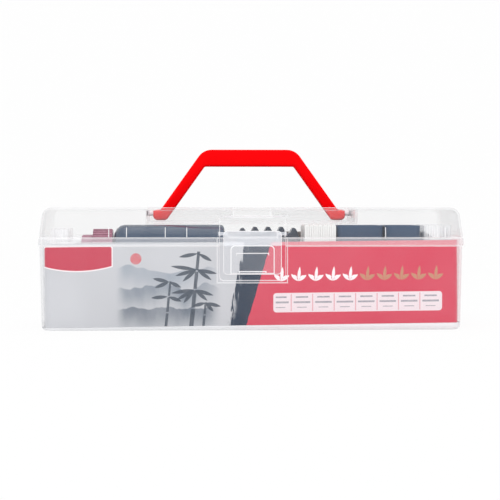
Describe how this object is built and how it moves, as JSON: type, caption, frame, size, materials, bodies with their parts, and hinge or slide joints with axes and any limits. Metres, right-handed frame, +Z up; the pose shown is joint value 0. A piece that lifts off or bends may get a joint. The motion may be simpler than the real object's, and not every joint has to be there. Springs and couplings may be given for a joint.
{
  "type": "calligraphy set box",
  "caption": "Long clear plastic case with hinged lid, fold-down bail handle and front snap latch, holding ink, dishes, brushes, brush rest, mat, paper and cloth.",
  "frame": {"origin": "middle of the flat underside of the base box", "axes": "+X along the case to the right as seen from the front, -Y out of the front where the latch is, +Z up"},
  "size_m": [0.32, 0.1193, 0.137],
  "materials": {
    "clear_case": "clear moulded polypropylene, slightly hazy",
    "red_handle": "satin moulded",
    "steel": "drawn wire",
    "printed_card": "printed and varnished card",
    "felt": "pressed wool felt",
    "paper": "soft uncoated paper",
    "clear_film": "thin formed film",
    "dark_bottle": "blown",
    "ink": "liquid",
    "white_plug": "moulded",
    "red_cap": "moulded",
    "dark_rest": "satin moulded",
    "pale_cloth": "plain weave",
    "slate_dish": "moulded",
    "bamboo": "dark-stained polished cane",
    "horn": "polished",
    "hair": "stiffened hair",
    "clear_cap": "clear tube"
  },
  "bodies": {
    "base": {"base_tray": "clear_case", "hinge_pin_left": "steel", "hinge_pin_right": "steel", "card_sleeve": "printed_card", "felt_mat": "felt", "paper_pad": "paper", "inner_tray": "clear_film", "ink_bottle": "dark_bottle", "ink_fill": "ink", "bottle_plug": "white_plug", "brush_rest": "dark_rest", "writing_cloth": "pale_cloth", "ink_dish": "slate_dish", "water_dish": "slate_dish", "brush_1_shaft": "bamboo", "brush_1_knob": "horn", "brush_1_tip": "hair", "brush_1_cap": "clear_cap", "brush_2_shaft": "bamboo", "brush_2_knob": "horn", "brush_2_tip": "hair", "brush_2_cap": "clear_cap", "brush_3_shaft": "bamboo", "brush_3_knob": "horn", "brush_3_tip": "hair", "brush_3_cap": "clear_cap", "brush_4_shaft": "bamboo", "brush_4_knob": "horn", "brush_4_tip": "hair", "brush_4_cap": "clear_cap"},
    "lid": {"lid_shell": "clear_case"},
    "handle": {"handle": "red_handle"},
    "latch": {"latch_plate": "clear_case"},
    "bottle_cap": {"bottle_cap": "red_cap"}
  },
  "joints": [
    {"name": "lid_hinge", "type": "hinge", "parent": "base", "child": "lid", "pos_m": [0, 0.0587, 0.066], "axis": [-1, 0, 0], "range_deg": [0, 110]},
    {"name": "handle_fold", "type": "hinge", "parent": "lid", "child": "handle", "pos_m": [0, 0.0055, 0.0875], "axis": [1, 0, 0], "range_deg": [-8, 90]},
    {"name": "latch_pivot", "type": "hinge", "parent": "lid", "child": "latch", "pos_m": [0, -0.0526, 0.0723], "axis": [-1, 0, 0], "range_deg": [0, 90]},
    {"name": "cap_turn", "type": "hinge", "parent": "base", "child": "bottle_cap", "pos_m": [-0.105, -0.0255, 0.0573], "axis": [-1, 0, 0], "range_deg": [0, 360]}
  ]
}
